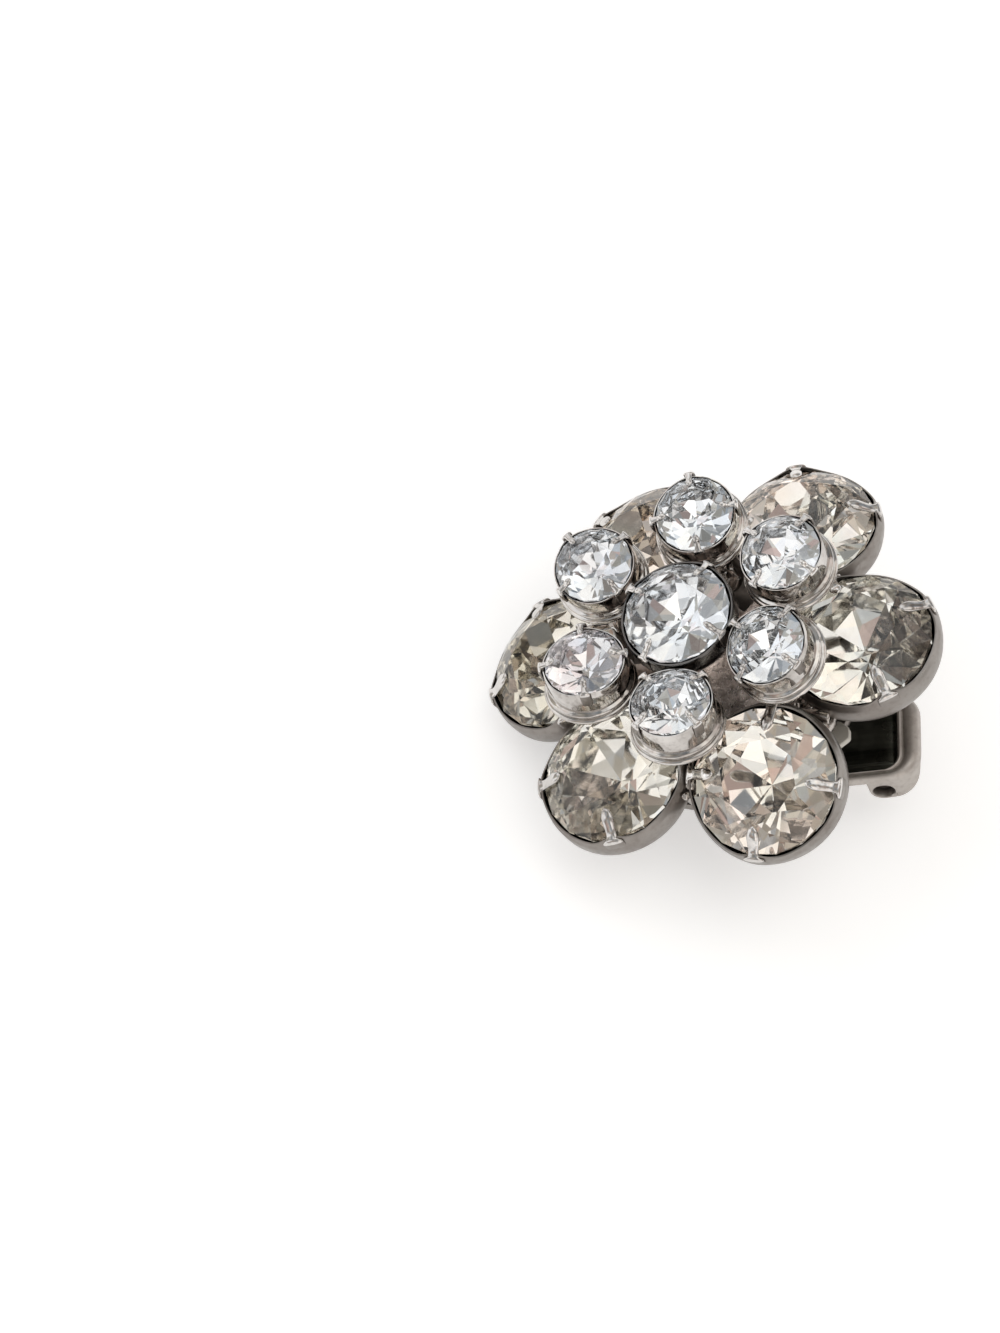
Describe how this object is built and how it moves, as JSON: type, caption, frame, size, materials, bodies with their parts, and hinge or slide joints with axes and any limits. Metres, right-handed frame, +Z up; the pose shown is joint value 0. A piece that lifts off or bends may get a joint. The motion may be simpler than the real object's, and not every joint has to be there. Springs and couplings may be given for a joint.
{
  "type": "cluster earring",
  "caption": "Clip-on cluster earring: a ring of large round faceted stones under a raised ring of small ones round a centre stone, in claw cups on a lever clip.",
  "frame": {"origin": "centre of the bounding box's base, on the floor, with the earring lying on its closed clip", "axes": "+Z up, +X towards the clip's hinge, -Y towards the viewer of the picture"},
  "size_m": [0.0274, 0.027, 0.0172],
  "materials": {
    "setting": "bright plating on brass, a little worn and warm",
    "clip": "bright plating",
    "pin": "dull steel",
    "large_glass": "clear faceted glass, foil-backed and warmed with age",
    "small_glass": "clear faceted glass with a bright foil back"
  },
  "bodies": {
    "cluster": {"setting": "setting", "hinge_pin": "pin", "centre_stone": "small_glass", "large_stone_1": "large_glass", "large_stone_2": "large_glass", "large_stone_3": "large_glass", "large_stone_4": "large_glass", "large_stone_5": "large_glass", "large_stone_6": "large_glass", "small_stone_1": "small_glass", "small_stone_2": "small_glass", "small_stone_3": "small_glass", "small_stone_4": "small_glass", "small_stone_5": "small_glass", "small_stone_6": "small_glass"},
    "paddle": {"clip_paddle": "clip"}
  },
  "joints": [
    {"name": "clip_hinge", "type": "hinge", "parent": "cluster", "child": "paddle", "pos_m": [0.01099, -0.00318, 0.00338], "axis": [0, -1, 0], "range_deg": [0, 90]}
  ]
}
